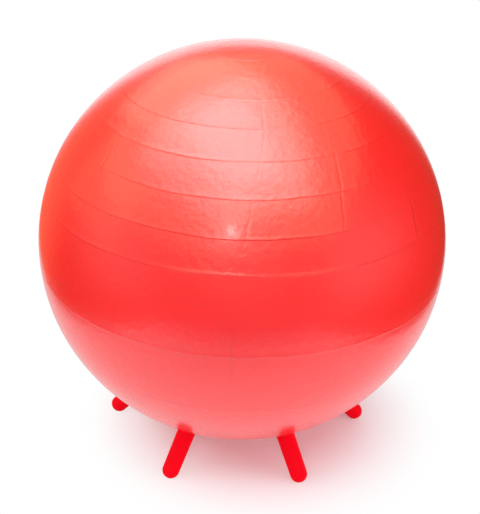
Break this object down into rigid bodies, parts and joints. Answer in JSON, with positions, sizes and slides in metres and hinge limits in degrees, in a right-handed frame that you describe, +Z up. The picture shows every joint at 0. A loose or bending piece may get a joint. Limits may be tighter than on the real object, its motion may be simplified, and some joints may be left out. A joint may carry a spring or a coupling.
{
  "type": "sitting ball",
  "caption": "Air-filled vinyl sitting ball with raised rings, standing on short splayed legs round its underside, with a push-in air valve at the bottom.",
  "frame": {"origin": "on the floor, under the middle of the ball", "axes": "+Z up through both poles of the ball, -Y towards the viewer of the picture, +X to that viewer's right"},
  "size_m": [0.5498, 0.5498, 0.562],
  "materials": {
    "ball_vinyl": "satin",
    "leg_vinyl": "satin",
    "plug_plastic": "satin"
  },
  "bodies": {
    "ball": {"ball_skin": "ball_vinyl", "leg_front_left": "leg_vinyl", "leg_front_right": "leg_vinyl", "leg_right": "leg_vinyl", "leg_rear_right": "leg_vinyl", "leg_rear_left": "leg_vinyl", "leg_left": "leg_vinyl", "valve_collar": "leg_vinyl"},
    "stopper": {"valve_plug": "plug_plastic"}
  },
  "joints": [
    {"name": "plug", "type": "slide", "parent": "ball", "child": "stopper", "axis": [0, 0, -1], "range_m": [0, 0.019]}
  ]
}
